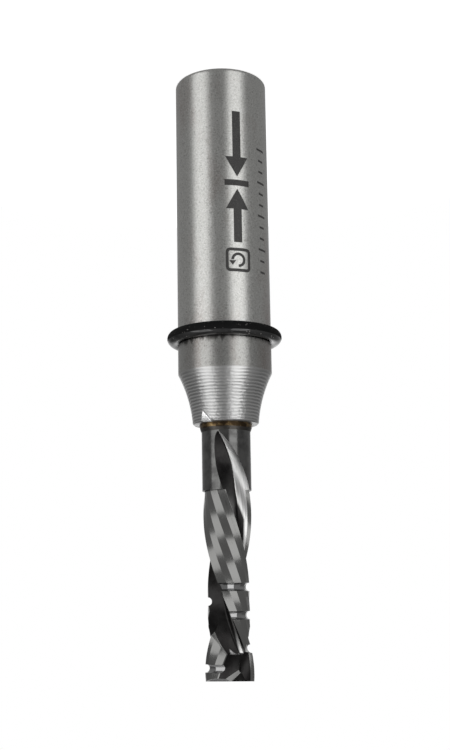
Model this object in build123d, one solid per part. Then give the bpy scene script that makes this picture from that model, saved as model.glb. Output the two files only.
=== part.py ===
from build123d import *
import math
import os

os.makedirs("parts", exist_ok=True)

# Compression router bit, standing on its shank end: z runs from the shank end to the cutting tip.
# All lengths are in millimetres and all angles in degrees.

# Shank, its heights measured from the shank end
shank_diameter = 12.0
shank_end_edge = 0.5
neck_start = 39.5
neck_length = 6.5
neck_end_diameter = 8.4
neck_curve_radius = 17.0
neck_edge_break = 0.15

# Stop ring in its groove
ring_section = 1.72
ring_inner_diameter = 11.3
ring_height = 34.8
ring_seat_gap = 0.04
ring_side_gap = 0.06

# Socket and braze
socket_depth = 15.0
braze_gap = 0.08
braze_fillet_width = 0.24
braze_fillet_height = 1.0

# Cutter, its lengths measured back from the tip
overall_length = 77.6
cut_diameter = 6.0
blank_diameter = 6.2
blank_end_chamfer = 0.3
ground_length = 23.2
tooth_count = 2

# Cutting edges: the two edges of one tooth run towards each other and would meet this far from the tip
up_cut_length = 9.6
edge_meet_azimuth = 278.5
down_helix = 22.0
up_helix = 26.5

# Land of a tooth: each flat ends at an angle behind the cutting edge, below the cut radius by a drop
down_flats = [(20.0, 0.21), (39.0, 0.31), (62.0, 0.36), (85.0, 0.40), (108.0, 0.42)]
up_flats = [(11.0, 0.14), (38.0, 0.30), (60.0, 0.35)]
up_heel_relief = (126.0, 1.27)
land_change_rise = 4.8
land_overlap = 3.2

# Flute section: a hooked rake face, a round root and a straight back wall
flute_root_radius = 1.3
flute_root_lead = 17.0
rake_hollow = 0.16
flute_fillet = 0.3
flute_reach = 3.0

# Flute length: full depth over a stretch, then run-outs in the curve of the grinding wheel, which leaves
# at an angle ahead of the cutting edge
wheel_radius = 26.0
down_full_length = 12.0
down_shank_exit_lead = 38.0
down_tip_exit_lead = -12.0
up_full_length = 3.0
up_exit_lead = 20.0
flute_clearance = 0.1
flute_section_spacing = 1.7
tip_overrun = 1.0

# Chip breaker notches: first height of each row from where the edges meet or from the tip
notch_radius = 0.5
notch_depth = 0.42
notch_overrun_angle = 8.0
down_notch_drop = 1.7
down_notch_pitch = 3.4
down_notch_count = 2
down_notch_stagger = 1.7
up_notch_drop = 1.6
up_notch_stagger = 2.2

# End teeth: the gash in front of each one falls away outwards and forwards
end_relief = 12.0
gash_slope = 41.0
gash_side_slope = 16.0
gash_depth = 1.15

# Derived sizes
shank_radius = shank_diameter / 2
neck_end = neck_start + neck_length
neck_end_radius = neck_end_diameter / 2
cut_radius = cut_diameter / 2
blank_radius = blank_diameter / 2
socket_radius = blank_radius + braze_gap
socket_floor = neck_end - socket_depth
blank_start = socket_floor + braze_gap
tooth_angle = 360 / tooth_count
braze_fillet_curve = (braze_fillet_width**2 + braze_fillet_height**2) / (2 * braze_fillet_width)
groove_radius = ring_inner_diameter / 2 - ring_seat_gap
groove_width = ring_section + 2 * ring_side_gap
ground_start = overall_length - ground_length
edge_meet_height = overall_length - up_cut_length
land_change = edge_meet_height + land_change_rise
down_rate = math.degrees(math.tan(math.radians(down_helix)) / cut_radius)
up_rate = math.degrees(math.tan(math.radians(up_helix)) / cut_radius)


def down_edge(z):
    """Azimuth of the first tooth's edge in the part that cuts towards the tip."""
    return edge_meet_azimuth - down_rate * (z - edge_meet_height)


def up_edge(z):
    """Azimuth of the first tooth's edge in the part that cuts towards the shank."""
    return edge_meet_azimuth + up_rate * (z - edge_meet_height)


def polar(radius, azimuth):
    """Point in the section plane."""
    return (radius * math.cos(math.radians(azimuth)), radius * math.sin(math.radians(azimuth)))


def land_body(flats, edge, bottom, top, rate):
    """Twisted body of all teeth, its flats following the cutting edge."""
    points = []
    for tooth in range(tooth_count):
        turn = edge(bottom) - tooth * tooth_angle
        points.append(polar(cut_radius, turn))
        points += [polar(cut_radius - drop, turn - angle) for angle, drop in flats]
    section = make_face(Polyline(*points, close=True))
    body = Solid.extrude_linear_with_rotation(
        section.face(), (0, 0, 0), (0, 0, top - bottom), rate * (top - bottom)
    )
    return Pos(0, 0, bottom) * body


def flute_section(heel_angle, heel_drop):
    """Section of the space in front of a cutting edge that lies on the +X axis."""
    root = Vector(*polar(flute_root_radius, flute_root_lead))
    corner = Vector(cut_radius, 0)
    heel = Vector(*polar(cut_radius - heel_drop, tooth_angle - heel_angle))
    chord = corner - root
    hollow = (root + corner) / 2 - Vector(-chord.Y, chord.X).normalized() * rake_hollow
    rake = ThreePointArc(root, hollow, corner)
    rake_end = corner + (rake % 1) * flute_reach
    wall_end = heel + (heel - root).normalized() * flute_reach
    opening = Vector(*polar(cut_radius + 2 * flute_reach, (tooth_angle - heel_angle) / 2))
    section = make_face(rake + Polyline(corner, rake_end, opening, wall_end, root))
    near_root = section.vertices().sort_by_distance((root.X, root.Y, 0))[0]
    return fillet(near_root, flute_fillet)


def rim_rise(distance, helix):
    """How far the wheel's rim has risen at a height past the end of the full depth."""
    along = distance / math.cos(math.radians(helix))
    return wheel_radius - math.sqrt(wheel_radius**2 - along**2)


def run_out(radius, helix):
    """Height in which the wheel's rim rises from the flute's root to clear a round of this radius."""
    rise = radius - flute_root_radius + flute_clearance
    along = math.sqrt(wheel_radius**2 - (wheel_radius - rise) ** 2)
    return along * math.cos(math.radians(helix))


def flute(section, edge, helix, full_start, full_end, exit_leads, bottom, top, tooth):
    """Space of one ground flute: its section turns with the edge and moves out with the wheel."""
    steps = round((top - bottom) / flute_section_spacing)
    start_lead, end_lead = exit_leads
    sections = []
    for step in range(steps + 1):
        z = bottom + (top - bottom) * step / steps
        past = max(full_start - z, z - full_end, 0)
        turn = edge(z) - tooth * tooth_angle
        out = polar(rim_rise(past, helix), start_lead if z < full_start else end_lead)
        sections.append(Pos(0, 0, z) * Rot(0, 0, turn) * Pos(out[0], out[1], 0) * section)
    return loft(sections)


def make_flutes():
    """Flutes of the part that cuts towards the tip, then of the part that cuts towards the shank."""
    down_section = flute_section(*down_flats[-1])
    up_section = flute_section(*up_heel_relief)
    down_start = edge_meet_height - down_full_length
    down_bottom = down_start - run_out(shank_radius, down_helix)
    down_top = edge_meet_height + run_out(cut_radius, down_helix)
    up_start = overall_length - up_full_length
    up_bottom = up_start - run_out(cut_radius, up_helix)
    up_top = overall_length + tip_overrun
    down_leads = (down_shank_exit_lead, down_tip_exit_lead)
    up_leads = (up_exit_lead, up_exit_lead)
    down = []
    up = []
    for tooth in range(tooth_count):
        down.append(
            flute(down_section, down_edge, down_helix, down_start, edge_meet_height, down_leads,
                  down_bottom, down_top, tooth)
        )
        up.append(
            flute(up_section, up_edge, up_helix, up_start, up_top, up_leads,
                  up_bottom, up_top, tooth)
        )
    return down, up


def notch(z, edge, flats, tooth):
    """Round groove along the flats of one tooth's land, as deep at the heel as at the edge."""
    turn = edge(z) - tooth * tooth_angle
    centre_radius = cut_radius + notch_radius - notch_depth
    heel_angle, heel_drop = flats[-1]
    stations = [(-notch_overrun_angle, 0.0), *flats[:-1], (heel_angle + notch_overrun_angle, heel_drop)]
    points = [Vector(*polar(centre_radius - drop, turn - angle), z) for angle, drop in stations]
    path = Polyline(*points)
    return sweep(Plane(path @ 0, z_dir=path % 0) * Circle(notch_radius), path, transition=Transition.RIGHT)


def notches():
    """All chip breakers. Those of the second tooth lie between those of the first and are one fewer, so
    that each tooth clears the ridge that the other leaves."""
    found = []
    for tooth in range(tooth_count):
        for index in range(down_notch_count - tooth):
            z = edge_meet_height - down_notch_drop + index * down_notch_pitch + tooth * down_notch_stagger
            found.append(notch(z, down_edge, down_flats, tooth))
        z = overall_length - up_notch_drop - tooth * up_notch_stagger
        found.append(notch(z, up_edge, up_flats, tooth))
    return found


def end_cuts(tooth):
    """Relief behind one end tooth's edge and the gash in front of it."""
    turn = up_edge(overall_length) - tooth * tooth_angle
    size = 4 * cut_radius
    behind = Pos(0, -size / 2, size / 2) * Box(size, size, size)
    ahead = Pos(0, size / 2, 0) * Box(size, size, size)
    above_floor = Pos(0, 0, size / 2) * Box(size, 2 * size, size)
    floor_tilt = Rot(0, gash_slope, 0) * Rot(-gash_side_slope, 0, 0)
    gash = ahead & (Pos(cut_radius / 2, 0, -gash_depth) * floor_tilt * above_floor)
    place = Pos(0, 0, overall_length) * Rot(0, 0, turn)
    return place * Rot(end_relief, 0, 0) * behind, place * gash


def make_shank(flutes):
    """Turned steel shank with its ring groove, hollow neck and socket for the cutter."""
    edge = shank_end_edge
    foot = neck_end - neck_edge_break
    with BuildSketch(Plane.XZ) as profile:
        with BuildLine():
            Line((0, 0), (shank_radius - edge, 0))
            RadiusArc((shank_radius - edge, 0), (shank_radius, edge), -edge)
            Line((shank_radius, edge), (shank_radius, neck_start))
            RadiusArc((shank_radius, neck_start), (neck_end_radius, foot), neck_curve_radius)
            Polyline(
                (neck_end_radius, foot),
                (neck_end_radius - neck_edge_break, neck_end),
                (socket_radius, neck_end),
                (socket_radius, socket_floor),
                (0, socket_floor),
                (0, 0),
            )
        make_face()
    body = revolve(profile.sketch, Axis.Z)
    groove_depth = shank_radius - groove_radius
    groove = Pos(shank_radius, 0, ring_height) * Rot(90, 0, 0) * Rectangle(2 * groove_depth, groove_width)
    body = body - revolve(groove, Axis.Z)
    for space in flutes:
        body = body - space
    return body


def make_ring():
    """Rubber ring round the groove."""
    centre = ring_inner_diameter / 2 + ring_section / 2
    section = Pos(centre, 0, ring_height) * Rot(90, 0, 0) * Circle(ring_section / 2)
    return revolve(section, Axis.Z)


def make_braze(flutes):
    """Braze metal that fills the socket round the cutter and stands out as a hollow fillet."""
    rim = blank_radius + braze_fillet_width
    fillet_top = neck_end + braze_fillet_height
    with BuildSketch(Plane.XZ) as profile:
        with BuildLine():
            Polyline(
                (0, socket_floor),
                (socket_radius, socket_floor),
                (socket_radius, neck_end),
                (rim, neck_end),
            )
            RadiusArc((rim, neck_end), (blank_radius, fillet_top), -braze_fillet_curve)
            Polyline(
                (blank_radius, fillet_top),
                (blank_radius, blank_start + blank_end_chamfer),
                (blank_radius - blank_end_chamfer, blank_start),
                (0, blank_start),
                (0, socket_floor),
            )
        make_face()
    body = revolve(profile.sketch, Axis.Z)
    for space in flutes:
        body = body - space
    return body


def make_cutter(flutes, cuts):
    """Carbide cutter: a round blank that carries the ground lands, less its flutes and cuts."""
    blank = Pos(0, 0, blank_start) * Cylinder(
        blank_radius, ground_start - blank_start, align=(Align.CENTER, Align.CENTER, Align.MIN)
    )
    blank = chamfer(blank.edges().group_by(Axis.Z)[0], blank_end_chamfer)
    half = land_overlap / 2
    body = (
        blank
        + land_body(down_flats, down_edge, ground_start, land_change + half, -down_rate)
        + land_body([*up_flats, up_heel_relief], up_edge, land_change - half, overall_length, up_rate)
    )
    for space in flutes + cuts:
        body = body - space
    return body


down_flutes, up_flutes = make_flutes()
small_cuts = notches()
for tooth in range(tooth_count):
    small_cuts += end_cuts(tooth)

export_step(make_shank(down_flutes), "parts/shank.step")
export_step(make_ring(), "parts/stop_ring.step")
export_step(make_braze(down_flutes), "parts/braze.step")
export_step(make_cutter(down_flutes + up_flutes, small_cuts), "parts/cutter.step")
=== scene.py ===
"""Compression router bit: its finishes, laser marks and studio.

The bit stands on its shank end. The CAD nodes keep their shape and get their finishes here.
"""

import math
from collections import namedtuple

import bpy
from mathutils import Matrix, Vector


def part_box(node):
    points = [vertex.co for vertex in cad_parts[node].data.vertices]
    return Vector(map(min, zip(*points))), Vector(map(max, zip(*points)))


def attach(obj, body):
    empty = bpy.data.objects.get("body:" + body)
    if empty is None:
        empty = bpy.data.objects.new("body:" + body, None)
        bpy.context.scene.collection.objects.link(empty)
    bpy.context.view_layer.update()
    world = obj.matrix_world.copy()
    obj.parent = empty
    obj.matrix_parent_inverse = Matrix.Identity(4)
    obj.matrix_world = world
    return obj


bl_info = {
    "name": "Compression Router Bit",
    "version": (1, 0, 0),
    "blender": (4, 5, 0),
    "location": "View3D > Sidebar > Router Bit",
    "description": "Finishes a compression router bit, marks its shank and sets up its studio",
    "category": "Object",
}

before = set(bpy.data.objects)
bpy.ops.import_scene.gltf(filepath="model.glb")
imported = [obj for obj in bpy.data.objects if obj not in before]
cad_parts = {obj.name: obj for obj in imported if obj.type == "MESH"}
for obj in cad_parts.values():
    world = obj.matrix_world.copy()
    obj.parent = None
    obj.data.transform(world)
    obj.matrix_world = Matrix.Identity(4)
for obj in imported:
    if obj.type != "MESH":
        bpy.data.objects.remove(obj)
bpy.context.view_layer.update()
_, shank_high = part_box("shank")
ring_low, ring_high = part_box("stop_ring")
_, braze_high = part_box("braze")
_, cutter_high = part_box("cutter")

# Widths, in metres, over which one finish passes into the next
soft_edge = 0.0001
sharp_edge = 0.00006
hairline = 0.00002

# Place on a piece, its distance from the tool's axis, the angle round the axis and the height
Surface = namedtuple("Surface", "place radius angle z")
# Where each kind of ground face lies on the cutter
CutterMasks = namedtuple("CutterMasks", "round_blank land notch gash rake")


def length(name, description, default):
    return bpy.props.FloatProperty(
        name=name, description=description, default=default, unit="LENGTH", precision=6
    )


def angle(name, description, degrees):
    return bpy.props.FloatProperty(
        name=name, description=description, default=math.radians(degrees), subtype="ANGLE"
    )


def level(name, description, default):
    return bpy.props.FloatProperty(name=name, description=description, default=default, min=0.0)


def power(name, description, default):
    return bpy.props.FloatProperty(name=name, description=description, default=default, unit="POWER")


def colour(name, description, default):
    return bpy.props.FloatVectorProperty(
        name=name, description=description, default=default, size=4, min=0.0, max=1.0, subtype="COLOR"
    )


class RouterBitSizes(bpy.types.PropertyGroup):
    shank_radius: length("Shank Radius", "Radius of the ground shank", shank_high.x)
    ring_middle: length("Ring Middle", "Height of the stop ring's middle", (ring_low.z + ring_high.z) / 2)
    ring_edge: length("Ring Edge", "Height of the ring's edge on the neck's side", ring_high.z - 0.00035)
    ring_worn: length("Ring Worn", "Distance from the ring's middle to its worn side", 0.0003)
    stain_reach: length("Stain Reach", "Distance over which the stains grow towards the ring", 0.01)
    # Reach of the grime streaks and of the painted shade next to the ring.
    grime_and_shade_reach: length("Grime Reach", "How far grime has run out from under the ring", 0.0013)
    neck_start: length("Neck Start", "Height at which the shank turns into the hollow neck", 0.0395)
    neck_end: length("Neck End", "Height of the neck's end face", shank_high.z)
    hollow_radius: length("Hollow Radius", "Radius of the neck's hollow curve", 0.017)
    hollow_distance: length("Hollow Distance", "Distance from the axis to the curve's middle", 0.021145)
    hollow_height: length("Hollow Height", "Height of the curve's middle", 0.047223)
    turning_pitch: length("Turning Pitch", "Distance between two turned rings of the neck", 0.00039)
    turning_fade: length("Turning Fade", "Height over which the turned rings get deeper", 0.0022)
    flute_reach: length("Flute Reach", "How far the flutes reach into the neck at most", 0.0026)
    neck_rim: length("Neck Rim", "Height of the broken edge at the neck's end", 0.00018)
    braze_film: length("Braze Film", "Height at which the braze thins to a film", braze_high.z - 0.00025)
    film_wander: length("Film Wander", "How far the edge of that film wanders down", 0.0005)
    blank_radius: length("Blank Radius", "Radius of the cutter's round blank", cutter_high.x)
    ground_start: length("Ground Start", "Height at which the ground lands start", 0.0544)
    # Where the painted highlight on the rake faces lies, and how far the painted shade of its core
    # reaches.
    full_cut_end: length("Full Cut End", "Height up to which the whole flute cut is bright", 0.052)
    cut_narrowing: length("Cut Narrowing", "Height over which the bright cut shrinks outwards", 0.006)
    cut_turning: length("Cut Turning", "Height over which only its rake side stays bright", 0.005)
    dark_core: length("Dark Core", "Radius up to which a rake face is dark past its bright cut", 0.002)
    land_radius: length("Land Radius", "Radius above which the carbide belongs to the lands", 0.0025)
    helix: angle("Helix", "Helix angle of the long flutes", 22.0)
    edges_meet: length("Edges Meet", "Height at which the cutting edges meet", cutter_high.z - 0.0096)
    notch_radius: length("Notch Radius", "Radius of a chip breaker notch", 0.0005)
    notch_pitch: length("Notch Pitch", "Distance between the notches where the edges meet", 0.0017)
    notch_floor: length("Notch Floor", "Radius at which the floor of a notch starts", 0.0021)
    notch_rim: length("Notch Rim", "Radius at which the floor of a notch ends", 0.00258)
    end_notch: length("End Notch", "Height of the notch next to the tip", cutter_high.z - 0.0016)
    end_notch_stagger: length("End Notch Stagger", "How much lower the other tooth's notch is", 0.0022)
    end_teeth: length("End Teeth", "Height at which the end teeth start", cutter_high.z - 0.0025)
    # Stretch before the end teeth that gets no painted highlight.
    end_teeth_gap: length("End Teeth Gap", "Distance before the end teeth that has no bright edge", 0.001)


class RouterBitMarks(bpy.types.PropertyGroup):
    mark_height: length("Mark Height", "How far a laser mark stands off the steel", 0.000004)
    mark_depth: length("Mark Depth", "Thickness of a laser mark", 0.00002)
    pictogram_angle: angle("Pictogram Angle", "Angle of the pictogram from the shank's front", 19.0)
    arrow_line: length("Arrow Line", "Width of the arrows' shafts", 0.0011)
    arrow_head: length("Arrow Head", "Width of the arrows' heads", 0.0031)
    arrow_point: length("Arrow Point", "Length of the arrows' heads", 0.0027)
    lower_arrow: length("Lower Arrow", "Length of the arrow that points to the tip", 0.0089)
    upper_arrow: length("Upper Arrow", "Length of the arrow that points to the shank's end", 0.0071)
    bar_middle: length("Bar Middle", "Height of the bar between the arrows", 0.0157)
    bar_width: length("Bar Width", "Width of the bar", 0.0034)
    bar_line: length("Bar Line", "Height of the bar's line", 0.0008)
    bar_gap: length("Bar Gap", "Gap between the bar and an arrow", 0.0004)
    box_middle: length("Box Middle", "Height of the middle of the rounded box", 0.0259)
    box_width: length("Box Width", "Width of the rounded box", 0.0034)
    box_tall: length("Box Tall", "Height from the bottom to the top of the rounded box", 0.0031)
    box_corner: length("Box Corner", "Size of the rounded corners", 0.0006)
    box_line: length("Box Line", "Width of the box's line", 0.0004)
    turn_radius: length("Turn Radius", "Outer radius of the turning arrow", 0.00095)
    turn_line: length("Turn Line", "Width of the turning arrow's line", 0.00035)
    turn_head: length("Turn Head", "Width of the turning arrow's head", 0.00091)
    turn_point: length("Turn Point", "Length of the turning arrow's head", 0.00063)
    turn_head_lift: length("Turn Head Lift", "Height of the turning arrow's head over the middle", 0.0003)
    tick_angle: angle("Tick Angle", "Angle of the row of ticks from the shank's front", 57.0)
    tick_start: length("Tick Start", "Height of the first tick", 0.0105)
    tick_pitch: length("Tick Pitch", "Distance between two ticks", 0.0015)
    tick_line: length("Tick Line", "Height of a tick's line", 0.00028)
    long_tick: length("Long Tick", "Width of every third tick", 0.0016)
    short_tick: length("Short Tick", "Width of the other ticks", 0.001)
    tick_count: bpy.props.IntProperty(name="Tick Count", description="Number of ticks", default=12, min=1)


class RouterBitColours(bpy.types.PropertyGroup):
    steel: colour("Steel", "Ground steel of the shank", (0.48, 0.48, 0.46, 1.0))
    steel_stain: colour("Steel Stain", "Brownish stain on the shank", (0.36, 0.325, 0.305, 1.0))
    steel_grain: colour("Steel Grain", "Light grains of the ground steel", (0.78, 0.78, 0.77, 1.0))
    steel_pits: colour("Steel Pits", "Dark pits of the ground steel", (0.17, 0.165, 0.16, 1.0))
    # Grime beside the stop ring, and the painted shade under it.
    grime_and_shade: colour("Grime", "Dark grime beside the stop ring", (0.04, 0.038, 0.035, 1.0))
    turned_steel: colour("Turned Steel", "Freshly turned steel of the neck", (0.57, 0.57, 0.565, 1.0))
    # Painted shade in the bottoms of the turned rings.
    turned_groove_shade: colour("Turned Groove", "Dark bottom of the turned rings", (0.22, 0.22, 0.22, 1.0))
    # Painted highlight: near-white steel where the flutes end in the neck.
    cut_steel_highlight: colour("Cut Steel", "Bright steel where the flutes end in the neck", (0.9, 0.9, 0.9, 1.0))
    rubber: colour("Rubber", "Black rubber of the stop ring", (0.003, 0.003, 0.003, 1.0))
    dust: colour("Dust", "Dust specks on the rubber", (0.22, 0.21, 0.2, 1.0))
    braze: colour("Braze", "Fresh braze metal", (0.28, 0.19, 0.09, 1.0))
    braze_scale: colour("Braze Scale", "Oxidised braze metal", (0.04, 0.026, 0.014, 1.0))
    braze_film: colour("Braze Film", "Thin film of braze on the carbide", (0.07, 0.065, 0.06, 1.0))
    ground_carbide: colour("Ground Carbide", "Ground carbide of the lands", (0.22, 0.22, 0.215, 1.0))
    blank_carbide: colour("Blank Carbide", "Grey carbide of the round blank", (0.15, 0.15, 0.147, 1.0))
    # Painted shade: near-black carbide in the flutes and on every face outside the other masks.
    shaded_flute_carbide: colour("Flute Carbide", "Dark smooth carbide of the flutes", (0.02, 0.019, 0.019, 1.0))
    # Painted light: pale grey that stands in for the light the gashes catch.
    lit_gash_carbide: colour("Gash Carbide", "Matt ground carbide of the end gashes", (0.5, 0.5, 0.49, 1.0))
    notch_carbide: colour("Notch Carbide", "Polished carbide of the notches", (0.34, 0.34, 0.34, 1.0))
    # Painted highlight on the rake faces.
    rake_highlight_carbide: colour("Rake Carbide", "Bright carbide of the rake faces", (0.78, 0.78, 0.77, 1.0))
    laser_mark: colour("Laser Mark", "Oxide of the laser marks", (0.035, 0.034, 0.033, 1.0))
    paper: colour("Paper", "Pale paper of the floor", (0.85, 0.85, 0.85, 1.0))


class RouterBitStudio(bpy.types.PropertyGroup):
    room_light: level("Room Light", "Level at which the room lights matt surfaces", 0.35)
    dark_side: level("Dark Side", "Level of the room in front of the bit, as metal mirrors it", 0.3)
    side_wall: level("Side Wall", "Level of the room beside the bit, as metal mirrors it", 0.32)
    upper_shade: level("Upper Shade", "How much darker the upper room is beside and behind the bit", 0.17)
    paper_glow: level("Paper Glow", "Light that the floor adds for the camera", 0.7)
    floor_radius: length("Floor Radius", "Radius of the round floor", 0.06)
    panel_distance: length("Panel Distance", "Distance from the axis to each soft panel", 0.6)
    panel_middle: length("Panel Middle", "Height of the middle of each soft panel", 0.33)
    panel_tall: length("Panel Tall", "Height from the bottom to the top of each soft panel", 1.6)
    left_angle: angle("Left Angle", "Angle from the camera's side to the left panel", 53.0)
    left_width: length("Left Width", "Width of the left panel", 0.46)
    left_power: power("Left Power", "Power of the left panel", 2.65)
    right_angle: angle("Right Angle", "Angle from the camera's side to the right panel", -37.0)
    right_width: length("Right Width", "Width of the right panel", 0.42)
    right_power: power("Right Power", "Power of the right panel", 2.75)


def new_material(name):
    material = bpy.data.materials.new(name)
    material.use_nodes = True
    tree = material.node_tree
    shader = tree.nodes["Principled BSDF"]
    return material, tree, shader


def add(tree, kind, **values):
    """New node with its settings and the default values of its sockets."""
    node = tree.nodes.new(kind)
    for key, value in values.items():
        if key in node.inputs:
            node.inputs[key].default_value = value
        else:
            setattr(node, key, value)
    return node


def join(tree, start, end):
    tree.links.new(start, end)


def maths(tree, operation, *terms):
    node = add(tree, "ShaderNodeMath", operation=operation)
    for socket, term in zip(node.inputs, terms):
        if isinstance(term, (int, float)):
            socket.default_value = term
        else:
            join(tree, term, socket)
    return node.outputs[0]


def product(tree, first, *factors):
    for factor in factors:
        first = maths(tree, "MULTIPLY", first, factor)
    return first


def without(tree, mask, other):
    """What a mask has outside another one."""
    return product(tree, mask, maths(tree, "SUBTRACT", 1.0, other))


def split_up(tree, vector):
    node = add(tree, "ShaderNodeSeparateXYZ")
    join(tree, vector, node.inputs[0])
    return node.outputs


def object_place(tree):
    return add(tree, "ShaderNodeTexCoord").outputs["Object"]


def on_surface(tree):
    place = object_place(tree)
    x, y, z = split_up(tree, place)
    square = maths(tree, "ADD", product(tree, x, x), product(tree, y, y))
    return Surface(place, maths(tree, "SQRT", square), maths(tree, "ARCTAN2", y, x), z)


def noise(tree, vector, scale, detail=4.0, roughness=0.6):
    node = add(tree, "ShaderNodeTexNoise", Scale=scale, Detail=detail, Roughness=roughness)
    join(tree, vector, node.inputs["Vector"])
    return node.outputs["Fac"]


def drawn_noise(tree, surface, along, around, detail, roughness=0.6):
    """Noise that is drawn out: along and around say how fine it is along the axis and round it."""
    combine = add(tree, "ShaderNodeCombineXYZ")
    join(tree, product(tree, maths(tree, "COSINE", surface.angle), around), combine.inputs[0])
    join(tree, product(tree, maths(tree, "SINE", surface.angle), around), combine.inputs[1])
    join(tree, product(tree, surface.z, along), combine.inputs[2])
    return noise(tree, combine.outputs[0], 1.0, detail, roughness)


def ramp(tree, value, low, high, start=0.0, end=1.0):
    node = add(tree, "ShaderNodeMapRange", clamp=True)
    join(tree, value, node.inputs["Value"])
    for name, number in (("From Min", low), ("From Max", high), ("To Min", start), ("To Max", end)):
        node.inputs[name].default_value = number
    return node.outputs[0]


def after(tree, value, start, width):
    """0 up to the start and 1 once the width is passed."""
    return ramp(tree, value, start, start + width)


def until(tree, value, start, width):
    """1 up to the start and 0 once the width is passed."""
    return ramp(tree, value, start, start + width, 1.0, 0.0)


def mix_colours(tree, factor, first, second):
    node = add(tree, "ShaderNodeMix", data_type="RGBA")
    join(tree, factor, node.inputs[0])
    for socket, value in ((node.inputs[6], first), (node.inputs[7], second)):
        if hasattr(value, "links"):
            join(tree, value, socket)
        else:
            socket.default_value = tuple(value)
    return node.outputs[2]


def mix_values(tree, factor, first, second):
    node = add(tree, "ShaderNodeMix", data_type="FLOAT")
    join(tree, factor, node.inputs[0])
    join(tree, first, node.inputs[2])
    join(tree, second, node.inputs[3])
    return node.outputs[0]


def bump(tree, height, distance, strength=1.0, normal=None):
    node = add(tree, "ShaderNodeBump", Strength=strength, Distance=distance)
    join(tree, height, node.inputs["Height"])
    if normal:
        join(tree, normal, node.inputs["Normal"])
    return node.outputs[0]


def finish_node(name, material):
    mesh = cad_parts[name].data
    mesh.materials.clear()
    mesh.materials.append(material)


def looks(context):
    return context.scene.router_bit_sizes, context.scene.router_bit_colours


def plain_steel(tree, surface, sizes, colours, speckle):
    """Colour of the ground steel, with its stains, light grains, dark pits, grime, and painted shade
    beside the stop ring.
    """
    stain_start = sizes.ring_middle - sizes.stain_reach
    towards_ring = ramp(tree, surface.z, stain_start, sizes.ring_middle, 0.0, 0.09)
    stain = maths(tree, "ADD", drawn_noise(tree, surface, 96.0, 1.6, 5.0), towards_ring)
    pits = noise(tree, surface.place, 3900.0, 2.0, 0.8)
    steel = mix_colours(tree, ramp(tree, stain, 0.54, 0.75), colours.steel, colours.steel_stain)
    steel = mix_colours(tree, ramp(tree, speckle, 0.42, 0.68, 0.0, 0.55), steel, colours.steel_grain)
    steel = mix_colours(tree, ramp(tree, pits, 0.54, 0.72, 0.0, 0.6), steel, colours.steel_pits)
    return mix_colours(tree, grime_and_shade_mask(tree, surface, sizes), steel, colours.grime_and_shade)


def grime_and_shade_mask(tree, surface, sizes):
    """Grime streaks from under the ring on the neck's side, with painted shade under the ring: the steel
    past the ring's middle is darker all over and darkest next to the ring.
    """
    under_ring = until(tree, surface.z, sizes.ring_edge, sizes.grime_and_shade_reach)
    streaks = drawn_noise(tree, surface, 160.0, 9.0, 4.0)
    grime_and_shade = ramp(tree, maths(tree, "MULTIPLY_ADD", under_ring, 0.34, streaks), 0.6, 0.78)
    grime_and_shade = product(tree, grime_and_shade, ramp(tree, under_ring, 0.0, 0.15))
    # Painted shade: the steel past the ring's middle is darkened at least this much.
    grime_and_shade = maths(tree, "MAXIMUM", grime_and_shade, 0.32)
    past_ring = ramp(tree, surface.z, sizes.ring_middle, sizes.ring_middle + soft_edge, 0.0, 0.85)
    return product(tree, grime_and_shade, past_ring)


def neck_cut_mask(tree, surface, sizes):
    """Where the flutes cut below the neck's hollow curve, near its end, which gets a painted highlight.
    """
    ahead = maths(tree, "SUBTRACT", surface.z, sizes.hollow_height)
    square = maths(tree, "SUBTRACT", sizes.hollow_radius**2, product(tree, ahead, ahead))
    curve = maths(tree, "SUBTRACT", sizes.hollow_distance, maths(tree, "SQRT", square))
    depth = maths(tree, "SUBTRACT", curve, surface.radius)
    below_curve = after(tree, depth, 0.75 * hairline, 0.75 * hairline)
    in_reach = after(tree, surface.z, sizes.neck_end - sizes.flute_reach, soft_edge)
    before_rim = until(tree, surface.z, sizes.neck_end - sizes.neck_rim, 1.5 * hairline)
    return product(tree, below_curve, in_reach, before_rim)


def turned_wave(tree, surface, sizes):
    """Wave of the turned rings, which wander a little and vary in their spacing."""
    turns = product(tree, surface.z, 2 * math.pi / sizes.turning_pitch)
    turns = maths(tree, "MULTIPLY_ADD", drawn_noise(tree, surface, 700.0, 14.0, 3.0), 2.4, turns)
    turns = maths(tree, "MULTIPLY_ADD", drawn_noise(tree, surface, 300.0, 1.2, 2.0), 5.0, turns)
    return maths(tree, "SINE", turns)


def turned_steel(tree, colours, wave, deep, cut):
    """Colour of the turned neck, with painted shade in its grooves and a painted highlight on the cuts of
    the flutes.
    """
    # Painted shade in the bottoms of the turned rings.
    groove_shade = product(tree, ramp(tree, wave, -0.95, 0.2, 1.0, 0.0), deep, 0.5)
    steel = mix_colours(tree, groove_shade, colours.turned_steel, colours.turned_groove_shade)
    # Painted highlight on the cuts of the flutes in the neck.
    return mix_colours(tree, cut, steel, colours.cut_steel_highlight)


def steel_roughness(tree, surface, neck, cut, speckle, grinding):
    scratches = drawn_noise(tree, surface, 400.0, 60.0, 6.0, 0.8)
    plain = ramp(tree, speckle, 0.3, 0.7, 0.3, 0.4)
    plain = maths(tree, "ADD", plain, ramp(tree, scratches, 0.4, 0.7, -0.03, 0.04))
    turned = maths(tree, "MULTIPLY_ADD", cut, -0.08, ramp(tree, grinding, 0.3, 0.7, 0.26, 0.36))
    return mix_values(tree, neck, plain, turned)


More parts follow.
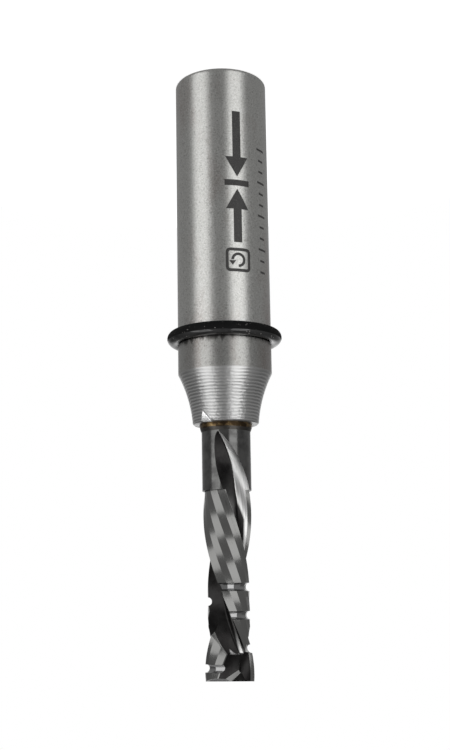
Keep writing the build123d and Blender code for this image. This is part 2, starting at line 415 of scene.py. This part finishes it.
class ROUTERBIT_OT_shank(bpy.types.Operator):
    """Give the shank its ground steel and the turned rings of its neck"""

    bl_idname = "router_bit.shank"
    bl_label = "Finish Shank"

    def execute(self, context):
        sizes, colours = looks(context)
        material, tree, steel = new_material("ground_steel")
        surface = on_surface(tree)
        steel.inputs["Metallic"].default_value = 1.0
        # Reflections are drawn out along the tool and stay sharp round it.
        steel.inputs["Anisotropic"].default_value = 0.7
        steel.inputs["Anisotropic Rotation"].default_value = 0.25
        tangent = add(tree, "ShaderNodeTangent", direction_type="RADIAL", axis="Z")
        join(tree, tangent.outputs[0], steel.inputs["Tangent"])

        neck = after(tree, surface.z, sizes.neck_start - soft_edge / 2, soft_edge)
        deep = ramp(tree, surface.z, sizes.neck_start, sizes.neck_start + sizes.turning_fade, 0.25, 1.0)
        cut = neck_cut_mask(tree, surface, sizes)
        wave = turned_wave(tree, surface, sizes)
        speckle = noise(tree, surface.place, 5200.0, 3.0, 0.7)
        grinding = drawn_noise(tree, surface, 24000.0, 3.0, 3.0)
        chatter = drawn_noise(tree, surface, 3300.0, 10.0, 2.0)

        plain = plain_steel(tree, surface, sizes, colours, speckle)
        turned = turned_steel(tree, colours, wave, deep, cut)
        join(tree, mix_colours(tree, neck, plain, turned), steel.inputs["Base Color"])
        rough = steel_roughness(tree, surface, neck, cut, speckle, grinding)
        join(tree, rough, steel.inputs["Roughness"])

        turned_only = without(tree, product(tree, neck, deep), cut)
        rings = product(tree, maths(tree, "MULTIPLY_ADD", chatter, 1.6, wave), 0.8, turned_only)
        relief = bump(tree, maths(tree, "MULTIPLY_ADD", grinding, 0.12, rings), 0.000032)
        relief = bump(tree, speckle, 0.000018, 0.8, relief)
        join(tree, relief, steel.inputs["Normal"])
        finish_node("shank", material)
        return {"FINISHED"}


def on_shank(radius, around, height):
    """Point on the shank at an angle from the camera's side, positive to the right of the photograph."""
    return Vector((-radius * math.sin(around), -radius * math.cos(around), height))


def flat_mark(radius, around, height, wide, tall, cuts=0, head=0):
    """Flat plate in front of the shank, or an arrow head: 1 points up the axis and -1 points down."""
    place = on_shank(radius, around, height)
    facing = (math.pi / 2, math.pi if head < 0 else 0.0, -around)
    bpy.ops.object.select_all(action="DESELECT")
    if head:
        # A triangle in a circle of diameter 1 is cos 30 degrees wide and three quarters tall.
        bpy.ops.mesh.primitive_circle_add(
            vertices=3, radius=0.5, fill_type="NGON", location=place, rotation=facing
        )
        wide /= math.cos(math.radians(30))
        tall /= 0.75
    else:
        bpy.ops.mesh.primitive_plane_add(size=1.0, location=place, rotation=facing)
    plate = bpy.context.object
    plate.scale = (wide, tall, 1.0)
    bpy.ops.object.transform_apply(location=True, rotation=True, scale=True)
    if cuts:
        bpy.ops.object.mode_set(mode="EDIT")
        bpy.ops.mesh.select_all(action="SELECT")
        bpy.ops.mesh.subdivide(number_cuts=cuts)
        bpy.ops.object.mode_set(mode="OBJECT")
    return plate


def straight_arrow(radius, marks, tail, tip):
    """Shaft and head of an arrow between two heights."""
    way = 1 if tip > tail else -1
    head_start = tip - way * marks.arrow_point
    head_middle = head_start + way * marks.arrow_point / 3
    shaft_middle = (tail + head_start) / 2
    around = marks.pictogram_angle
    return [
        flat_mark(radius, around, shaft_middle, marks.arrow_line, abs(head_start - tail), cuts=3),
        flat_mark(radius, around, head_middle, marks.arrow_head, marks.arrow_point, cuts=9, head=way),
    ]


def rounded_box(radius, marks):
    """Outline of a box with rounded corners."""
    box = flat_mark(radius, marks.pictogram_angle, marks.box_middle, marks.box_width, marks.box_tall)
    bpy.ops.object.mode_set(mode="EDIT")
    bpy.ops.mesh.select_all(action="SELECT")
    bpy.ops.mesh.bevel(offset=marks.box_corner, segments=4, affect="VERTICES")
    bpy.ops.mesh.select_all(action="SELECT")
    bpy.ops.mesh.inset(thickness=marks.box_line)
    bpy.ops.mesh.delete(type="FACE")
    bpy.ops.mesh.select_all(action="SELECT")
    bpy.ops.mesh.subdivide(number_cuts=7)
    bpy.ops.object.mode_set(mode="OBJECT")
    return box


def turning_arrow(radius, marks):
    """Three quarters of a ring with an arrow head, for the turning direction."""
    around = marks.pictogram_angle
    place = on_shank(radius, around, marks.box_middle)
    facing = (math.pi / 2, 0.0, -around)
    bpy.ops.object.select_all(action="DESELECT")
    bpy.ops.mesh.primitive_circle_add(
        vertices=32, radius=marks.turn_radius, fill_type="NGON", location=place, rotation=facing
    )
    bpy.ops.object.transform_apply(location=True, rotation=True, scale=True)
    bpy.ops.object.mode_set(mode="EDIT")
    bpy.ops.mesh.select_all(action="SELECT")
    bpy.ops.mesh.inset(thickness=marks.turn_line)
    bpy.ops.mesh.delete(type="FACE")
    bpy.ops.mesh.select_mode(type="FACE")
    bpy.ops.mesh.select_all(action="DESELECT")
    bpy.ops.object.mode_set(mode="OBJECT")
    ring = bpy.context.object
    beside = Vector((math.cos(around), -math.sin(around), 0.0))
    for face in ring.data.polygons:
        out = face.center - place
        face.select = out.dot(beside) > 0.0 and out.z > 0.0
    bpy.ops.object.mode_set(mode="EDIT")
    bpy.ops.mesh.delete(type="FACE")
    bpy.ops.object.mode_set(mode="OBJECT")
    line_middle = marks.turn_radius - marks.turn_line / 2
    head = flat_mark(
        radius,
        around - line_middle / radius,
        marks.box_middle + marks.turn_head_lift,
        wide=marks.turn_head,
        tall=marks.turn_point,
        cuts=3,
        head=1,
    )
    return [ring, head]


def row_of_ticks(radius, marks):
    ticks = []
    for index in range(marks.tick_count):
        wide = marks.long_tick if index % 3 == 0 else marks.short_tick
        height = marks.tick_start + index * marks.tick_pitch
        ticks.append(flat_mark(radius, marks.tick_angle, height, wide, marks.tick_line, cuts=4))
    return ticks


def wrap_round_shank(piece, radius, thickness):
    wrap = piece.modifiers.new("wrap", "CAST")
    wrap.cast_type = "CYLINDER"
    wrap.factor = 1.0
    wrap.radius = 0.0
    wrap.use_radius_as_size = False
    wrap.size = radius
    wrap.use_z = False
    bpy.ops.object.modifier_apply(modifier="wrap")
    depth = piece.modifiers.new("depth", "SOLIDIFY")
    depth.thickness = thickness
    depth.offset = -1.0
    bpy.ops.object.modifier_apply(modifier="depth")


class ROUTERBIT_OT_laser_marks(bpy.types.Operator):
    """Mark the shank with a plain pictogram of the cutting directions and a row of ticks"""

    bl_idname = "router_bit.laser_marks"
    bl_label = "Add Laser Marks"

    def execute(self, context):
        sizes, colours = looks(context)
        marks = context.scene.router_bit_marks
        radius = sizes.shank_radius
        to_tip = marks.bar_line / 2 + marks.bar_gap
        lower_tip = marks.bar_middle - to_tip
        upper_tip = marks.bar_middle + to_tip
        plates = [
            *straight_arrow(radius, marks, lower_tip - marks.lower_arrow, lower_tip),
            flat_mark(
                radius, marks.pictogram_angle, marks.bar_middle, marks.bar_width, marks.bar_line, cuts=11
            ),
            *straight_arrow(radius, marks, upper_tip + marks.upper_arrow, upper_tip),
            rounded_box(radius, marks),
            *turning_arrow(radius, marks),
            *row_of_ticks(radius, marks),
        ]
        bpy.ops.object.select_all(action="DESELECT")
        for plate in plates:
            plate.select_set(True)
        context.view_layer.objects.active = plates[0]
        bpy.ops.object.join()
        piece = context.object
        piece.name = piece.data.name = "laser_marks"
        wrap_round_shank(piece, radius + marks.mark_height, marks.mark_depth)

        material, tree, oxide = new_material("laser_oxide")
        place = object_place(tree)
        cloud = noise(tree, place, 1500.0)
        fine = noise(tree, place, 7000.0, 3.0, 0.7)
        worn = product(tree, ramp(tree, fine, 0.5, 0.72), ramp(tree, cloud, 0.4, 0.65, 0.2, 0.9))
        worn_colour = mix_colours(tree, worn, colours.laser_mark, colours.steel_pits)
        join(tree, worn_colour, oxide.inputs["Base Color"])
        join(tree, ramp(tree, worn, 0.0, 1.0, 0.1, 0.8), oxide.inputs["Metallic"])
        join(tree, ramp(tree, cloud, 0.35, 0.65, 0.45, 0.6), oxide.inputs["Roughness"])
        join(tree, bump(tree, fine, 0.000006, 0.6), oxide.inputs["Normal"])
        piece.data.materials.append(material)
        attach(piece, "root")
        return {"FINISHED"}


class ROUTERBIT_OT_stop_ring(bpy.types.Operator):
    """Give the stop ring its moulded rubber with some dust on it"""

    bl_idname = "router_bit.stop_ring"
    bl_label = "Finish Stop Ring"

    def execute(self, context):
        sizes, colours = looks(context)
        material, tree, rubber = new_material("moulded_rubber")
        place = object_place(tree)
        height = split_up(tree, place)[2]
        rubber.inputs["Specular IOR Level"].default_value = 0.14
        rubber.inputs["Coat Roughness"].default_value = 0.1
        rubber.inputs["Coat IOR"].default_value = 1.8
        grain = noise(tree, place, 2500.0, 5.0, 0.7)
        specks = noise(tree, place, 3800.0, 1.0)
        patches = noise(tree, place, 260.0, 3.0)
        dust = product(tree, ramp(tree, specks, 0.69, 0.73), ramp(tree, patches, 0.4, 0.55))
        join(tree, mix_colours(tree, dust, colours.rubber, colours.dust), rubber.inputs["Base Color"])
        # The side towards the neck is worn smooth and a little oily, the other side is matt.
        worn = after(tree, height, sizes.ring_middle + sizes.ring_worn, sharp_edge)
        matt = ramp(tree, worn, 0.0, 1.0, 0.5, 0.0)
        smooth = ramp(tree, patches, 0.35, 0.65, 0.14, 0.26)
        join(tree, maths(tree, "ADD", matt, smooth), rubber.inputs["Roughness"])
        oil = product(tree, worn, ramp(tree, patches, 0.38, 0.55, 0.3, 1.0))
        join(tree, oil, rubber.inputs["Coat Weight"])
        relief = bump(tree, grain, 0.00001, 0.5)
        relief = bump(tree, dust, 0.00002, 0.6, relief)
        join(tree, relief, rubber.inputs["Normal"])
        finish_node("stop_ring", material)
        return {"FINISHED"}


class ROUTERBIT_OT_braze(bpy.types.Operator):
    """Give the braze fillet its oxidised gold metal"""

    bl_idname = "router_bit.braze"
    bl_label = "Finish Braze"

    def execute(self, context):
        sizes, colours = looks(context)
        material, tree, metal = new_material("oxidised_braze")
        place = object_place(tree)
        height = split_up(tree, place)[2]
        metal.inputs["Metallic"].default_value = 1.0
        cloud = noise(tree, place, 900.0, 5.0)
        fine = noise(tree, place, 6000.0, 4.0, 0.7)
        gold = mix_colours(tree, ramp(tree, cloud, 0.46, 0.66), colours.braze_scale, colours.braze)
        uneven_height = maths(tree, "MULTIPLY_ADD", cloud, sizes.film_wander, height)
        film = after(tree, uneven_height, sizes.braze_film, 2 * sharp_edge)
        join(tree, mix_colours(tree, film, gold, colours.braze_film), metal.inputs["Base Color"])
        join(tree, ramp(tree, cloud, 0.35, 0.65, 0.42, 0.24), metal.inputs["Roughness"])
        relief = bump(tree, cloud, 0.00006, 0.6)
        relief = bump(tree, fine, 0.00001, 0.5, relief)
        join(tree, relief, metal.inputs["Normal"])
        finish_node("braze", material)
        return {"FINISHED"}


def land_mask(tree, surface, sizes, facing):
    """Ground lands outside the flutes."""
    outside = after(tree, surface.radius, sizes.land_radius, 2 * hairline)
    past_blank = after(tree, surface.z, sizes.ground_start - sharp_edge / 2, sharp_edge)
    # The small ledge where the two kinds of land meet looks up the axis and is left out of the lands, so
    # it gets the flutes' painted shade.
    before_end = until(tree, surface.z, sizes.end_teeth, soft_edge)
    ledge = product(tree, ramp(tree, facing[2], 0.85, 0.95), before_end)
    return without(tree, product(tree, outside, past_blank), ledge)


def rake_highlight_mask(tree, surface, sizes, tangential):
    """Painted highlight on the rake faces: the whole cut in the blank, and further on only its outer
    part, while the inner part keeps the flutes' painted shade.
    """
    start = sizes.full_cut_end
    needed = ramp(tree, surface.z, start, start + sizes.cut_turning, 0.3, 0.65)
    inner = ramp(tree, surface.z, start, start + sizes.cut_narrowing, 0.0, sizes.dark_core)
    forward = ramp(tree, maths(tree, "SUBTRACT", tangential, needed), 0.0, 0.12)
    outer = ramp(tree, maths(tree, "SUBTRACT", surface.radius, inner), 0.0, 2.5 * soft_edge)
    before_end = until(tree, surface.z, sizes.end_teeth - sizes.end_teeth_gap, soft_edge)
    return product(tree, forward, outer, before_end)


def notch_mask(tree, surface, sizes, tangential):
    """Notches: at their heights, the places where the land is cut lower than its flats."""
    heights = (
        sizes.edges_meet - sizes.notch_pitch,
        sizes.edges_meet,
        sizes.edges_meet + sizes.notch_pitch,
        sizes.end_notch - sizes.end_notch_stagger,
        sizes.end_notch,
    )
    notch = 0.0
    for height in heights:
        near = maths(tree, "COMPARE", surface.z, height, sizes.notch_radius)
        notch = maths(tree, "MAXIMUM", notch, near)
    above_floor = after(tree, surface.radius, sizes.notch_floor, 2.5 * hairline)
    below_rim = until(tree, surface.radius, sizes.notch_rim, hairline)
    not_in_flute = ramp(tree, maths(tree, "ABSOLUTE", tangential), 0.3, 0.4, 1.0, 0.0)
    return product(tree, notch, above_floor, below_rim, not_in_flute)


def cutter_masks(tree, surface, sizes):
    """Each kind of ground face, told by its place and by the way it faces."""
    facing = split_up(tree, add(tree, "ShaderNodeNewGeometry").outputs["True Normal"])
    # A rake face looks the way the angle grows, and the back of a tooth the other way.
    across = product(tree, facing[1], maths(tree, "COSINE", surface.angle))
    along = product(tree, facing[0], maths(tree, "SINE", surface.angle))
    tangential = maths(tree, "SUBTRACT", across, along)
    # The gash in front of each end tooth is the only sloping face near the tip.
    near_tip = after(tree, surface.z, sizes.end_teeth - soft_edge, soft_edge)
    gash = product(tree, maths(tree, "COMPARE", facing[2], 0.72, 0.18), near_tip)
    return CutterMasks(
        round_blank=after(tree, surface.radius, sizes.blank_radius - 2 * hairline, hairline),
        land=land_mask(tree, surface, sizes, facing),
        notch=notch_mask(tree, surface, sizes, tangential),
        gash=gash,
        rake=maths(tree, "MAXIMUM", rake_highlight_mask(tree, surface, sizes, tangential), gash),
    )


def wheel_line_noise(tree, surface, sizes):
    """Fine lines of the grinding wheel, which run along a flute, each at its own radius."""
    twist = math.tan(sizes.helix) / sizes.blank_radius
    turned = maths(tree, "MULTIPLY_ADD", surface.z, twist, surface.angle)
    along_flute = Surface(surface.place, surface.radius, turned, surface.radius)
    return drawn_noise(tree, along_flute, 6500.0, 2.0, 2.0)


def carbide_colour(tree, colours, masks, cloud, wheel_lines):
    light_cloud = ramp(tree, cloud, 0.4, 0.65, 0.0, 0.1)
    dark_cloud = ramp(tree, cloud, 0.42, 0.62, 0.0, 0.45)
    flute = mix_colours(tree, light_cloud, colours.shaded_flute_carbide, colours.blank_carbide)
    blank = mix_colours(tree, dark_cloud, colours.blank_carbide, colours.shaded_flute_carbide)
    # Painted highlight on the rake faces, streaked by the wheel's lines.
    lined_rake_highlight = product(tree, masks.rake, ramp(tree, wheel_lines, 0.38, 0.55, 0.72, 1.0))
    # The flutes and all faces outside the other masks keep the painted near-black shade.
    carbide = mix_colours(tree, masks.round_blank, flute, blank)
    carbide = mix_colours(tree, lined_rake_highlight, carbide, colours.rake_highlight_carbide)
    carbide = mix_colours(tree, masks.land, carbide, colours.ground_carbide)
    # Painted light on the gashes.
    carbide = mix_colours(tree, masks.gash, carbide, colours.lit_gash_carbide)
    return mix_colours(tree, masks.notch, carbide, colours.notch_carbide)


def carbide_roughness(tree, masks, cloud, lines):
    """The lands, the blank and the notches are polished, the flutes duller and the rake faces satin."""
    rake_or_notch = maths(tree, "MAXIMUM", masks.rake, masks.notch)
    outside_flute = maths(tree, "MAXIMUM", masks.round_blank, rake_or_notch)
    in_flute = maths(tree, "SUBTRACT", 1.0, outside_flute)
    satin = maths(tree, "MULTIPLY_ADD", in_flute, 0.14, ramp(tree, cloud, 0.35, 0.65, 0.12, 0.2))
    satin = maths(tree, "MULTIPLY_ADD", masks.rake, 0.2, satin)
    return mix_values(tree, masks.land, satin, ramp(tree, lines, 0.35, 0.65, 0.17, 0.25))


class ROUTERBIT_OT_cutter(bpy.types.Operator):
    """Give the cutter its polished carbide with painted shade and highlights, and its bright ground lands
    """

    bl_idname = "router_bit.cutter"
    bl_label = "Finish Cutter"

    def execute(self, context):
        sizes, colours = looks(context)
        material, tree, carbide = new_material("ground_carbide")
        surface = on_surface(tree)
        masks = cutter_masks(tree, surface, sizes)
        cloud = noise(tree, surface.place, 700.0)
        fine = noise(tree, surface.place, 9000.0, 3.0, 0.7)
        lines = drawn_noise(tree, surface, 16000.0, 14.0, 3.0)
        wheel_lines = wheel_line_noise(tree, surface, sizes)

        colour_mix = carbide_colour(tree, colours, masks, cloud, wheel_lines)
        join(tree, colour_mix, carbide.inputs["Base Color"])
        join(tree, carbide_roughness(tree, masks, cloud, lines), carbide.inputs["Roughness"])
        # The gash is ground matt, and the rest of the carbide mirrors as metal does.
        join(tree, maths(tree, "MULTIPLY_ADD", masks.gash, -0.75, 1.0), carbide.inputs["Metallic"])

        texture = maths(tree, "MULTIPLY_ADD", lines, 0.4, product(tree, fine, 0.3))
        relief = bump(tree, texture, 0.000004, 0.3)
        relief = bump(tree, product(tree, wheel_lines, masks.rake), 0.000012, 1.0, relief)
        join(tree, relief, carbide.inputs["Normal"])
        finish_node("cutter", material)
        return {"FINISHED"}


def set_camera(scene):
    """The bit stands on its shank end and is seen with the cutter hanging down."""
    camera = bpy.data.cameras.new("camera")
    camera.sensor_width = 36.0
    camera.lens = 55.953
    camera.clip_start = 0.005
    camera.clip_end = 20.0
    viewer = bpy.data.objects.new("camera", camera)
    scene.collection.objects.link(viewer)
    place = Vector((-0.00041, -0.146627, 0.068314))
    aim = Vector((0.000008, 0.0, 0.039522))
    lean = math.radians(0.931)
    ahead = (aim - place).normalized()
    right = ahead.cross(Vector((0.0, 0.0, -1.0))).normalized()
    above = right.cross(ahead)
    up = above * math.cos(lean) + right * math.sin(lean)
    side = ahead.cross(up)
    viewer.matrix_world = Matrix(
        (
            (side.x, up.x, -ahead.x, place.x),
            (side.y, up.y, -ahead.y, place.y),
            (side.z, up.z, -ahead.z, place.z),
            (0.0, 0.0, 0.0, 1.0),
        )
    )
    scene.camera = viewer


def soft_panel(scene, studio, name, azimuth, width, watts):
    """Soft panel at an angle from the camera's side, positive to the left of the photograph."""
    light = bpy.data.lights.new(name, "AREA")
    light.shape = "RECTANGLE"
    light.size = width
    light.size_y = studio.panel_tall
    light.energy = watts
    panel = bpy.data.objects.new(name, light)
    scene.collection.objects.link(panel)
    out = Vector((math.sin(azimuth), -math.cos(azimuth), 0.0))
    panel.location = out * studio.panel_distance
    panel.location.z = studio.panel_middle
    panel.rotation_euler = (-out).to_track_quat("-Z", "Y").to_euler()


def light_paths(tree):
    """Light path node, and 1 for what the camera sees itself or through something clear."""
    path = add(tree, "ShaderNodeLightPath").outputs
    return path, maths(tree, "MAXIMUM", path["Is Camera Ray"], path["Is Transmission Ray"])


def set_room(scene, studio):
    """White behind the bit, for the camera and in the metal, and a dark room on the camera's side."""
    world = bpy.data.worlds.new("room")
    scene.world = world
    world.use_nodes = True
    tree = world.node_tree
    room = tree.nodes["Background"]
    room.inputs["Color"].default_value = (1.0, 1.0, 1.0, 1.0)
    _, back, above = split_up(tree, add(tree, "ShaderNodeTexCoord").outputs["Generated"])
    sides = ramp(tree, back, -0.9, 0.5, studio.dark_side, studio.side_wall)
    upper = product(tree, ramp(tree, above, -0.1, 0.3), ramp(tree, back, -0.3, 0.4), studio.upper_shade)
    backdrop = ramp(tree, back, 0.85, 1.0)
    around = maths(tree, "MAXIMUM", maths(tree, "SUBTRACT", sides, upper), backdrop)
    path, seen = light_paths(tree)
    mirrored = product(tree, path["Is Glossy Ray"], around)
    matt = product(tree, path["Is Diffuse Ray"], studio.room_light)
    strength = maths(tree, "MAXIMUM", maths(tree, "MAXIMUM", seen, mirrored), matt)
    join(tree, strength, room.inputs["Strength"])


def white_paper(colours, studio):
    """Paper that looks white to the camera, keeps the shadow and is left out of reflections."""
    material, tree, paper = new_material("white_paper")
    paper.inputs["Base Color"].default_value = tuple(colours.paper)
    paper.inputs["Roughness"].default_value = 0.9
    glow = add(tree, "ShaderNodeEmission", Color=(1.0, 1.0, 1.0, 1.0), Strength=studio.paper_glow)
    unseen = add(tree, "ShaderNodeBsdfTransparent")
    bright = add(tree, "ShaderNodeAddShader")
    plain = add(tree, "ShaderNodeMixShader")
    both = add(tree, "ShaderNodeMixShader")
    path, seen = light_paths(tree)
    for start, end in (
        (paper.outputs[0], bright.inputs[0]),
        (glow.outputs[0], bright.inputs[1]),
        (path["Is Glossy Ray"], plain.inputs[0]),
        (paper.outputs[0], plain.inputs[1]),
        (unseen.outputs[0], plain.inputs[2]),
        (seen, both.inputs[0]),
        (plain.outputs[0], both.inputs[1]),
        (bright.outputs[0], both.inputs[2]),
        (both.outputs[0], tree.nodes["Material Output"].inputs["Surface"]),
    ):
        join(tree, start, end)
    return material


class ROUTERBIT_OT_studio(bpy.types.Operator):
    """Set the camera, the soft panels, the grey room and the white floor"""

    bl_idname = "router_bit.studio"
    bl_label = "Set Up Studio"

    def execute(self, context):
        scene = context.scene
        studio = scene.router_bit_studio
        set_camera(scene)
        left = (studio.left_angle, studio.left_width, studio.left_power)
        right = (studio.right_angle, studio.right_width, studio.right_power)
        soft_panel(scene, studio, "left_panel", *left)
        soft_panel(scene, studio, "right_panel", *right)
        set_room(scene, studio)
        bpy.ops.object.select_all(action="DESELECT")
        bpy.ops.mesh.primitive_circle_add(
            vertices=96, radius=studio.floor_radius, fill_type="NGON", location=(0.0, 0.0, 0.0)
        )
        floor = context.object
        floor.name = "floor"
        floor.data.materials.append(white_paper(scene.router_bit_colours, studio))
        scene.view_settings.view_transform = "Standard"
        return {"FINISHED"}


class ROUTERBIT_PT_sidebar(bpy.types.Panel):
    bl_label = "Router Bit"
    bl_idname = "ROUTERBIT_PT_sidebar"
    bl_space_type = "VIEW_3D"
    bl_region_type = "UI"
    bl_category = "Router Bit"

    def draw(self, context):
        for group_name in groups:
            group = getattr(context.scene, group_name)
            column = self.layout.column()
            for name in group.bl_rna.properties.keys():
                if name not in ("rna_type", "name"):
                    column.prop(group, name)
        for step in steps:
            self.layout.operator(step.bl_idname)


groups = {
    "router_bit_sizes": RouterBitSizes,
    "router_bit_marks": RouterBitMarks,
    "router_bit_colours": RouterBitColours,
    "router_bit_studio": RouterBitStudio,
}
steps = (
    ROUTERBIT_OT_shank,
    ROUTERBIT_OT_laser_marks,
    ROUTERBIT_OT_stop_ring,
    ROUTERBIT_OT_braze,
    ROUTERBIT_OT_cutter,
    ROUTERBIT_OT_studio,
)
classes = (*groups.values(), *steps, ROUTERBIT_PT_sidebar)


def register():
    for kind in classes:
        bpy.utils.register_class(kind)
    for name, group in groups.items():
        setattr(bpy.types.Scene, name, bpy.props.PointerProperty(type=group))


def unregister():
    for name in groups:
        delattr(bpy.types.Scene, name)
    for kind in reversed(classes):
        bpy.utils.unregister_class(kind)


def main():
    register()
    bpy.ops.router_bit.shank()
    bpy.ops.router_bit.laser_marks()
    bpy.ops.router_bit.stop_ring()
    bpy.ops.router_bit.braze()
    bpy.ops.router_bit.cutter()
    bpy.ops.router_bit.studio()


if __name__ == "__main__":
    main()
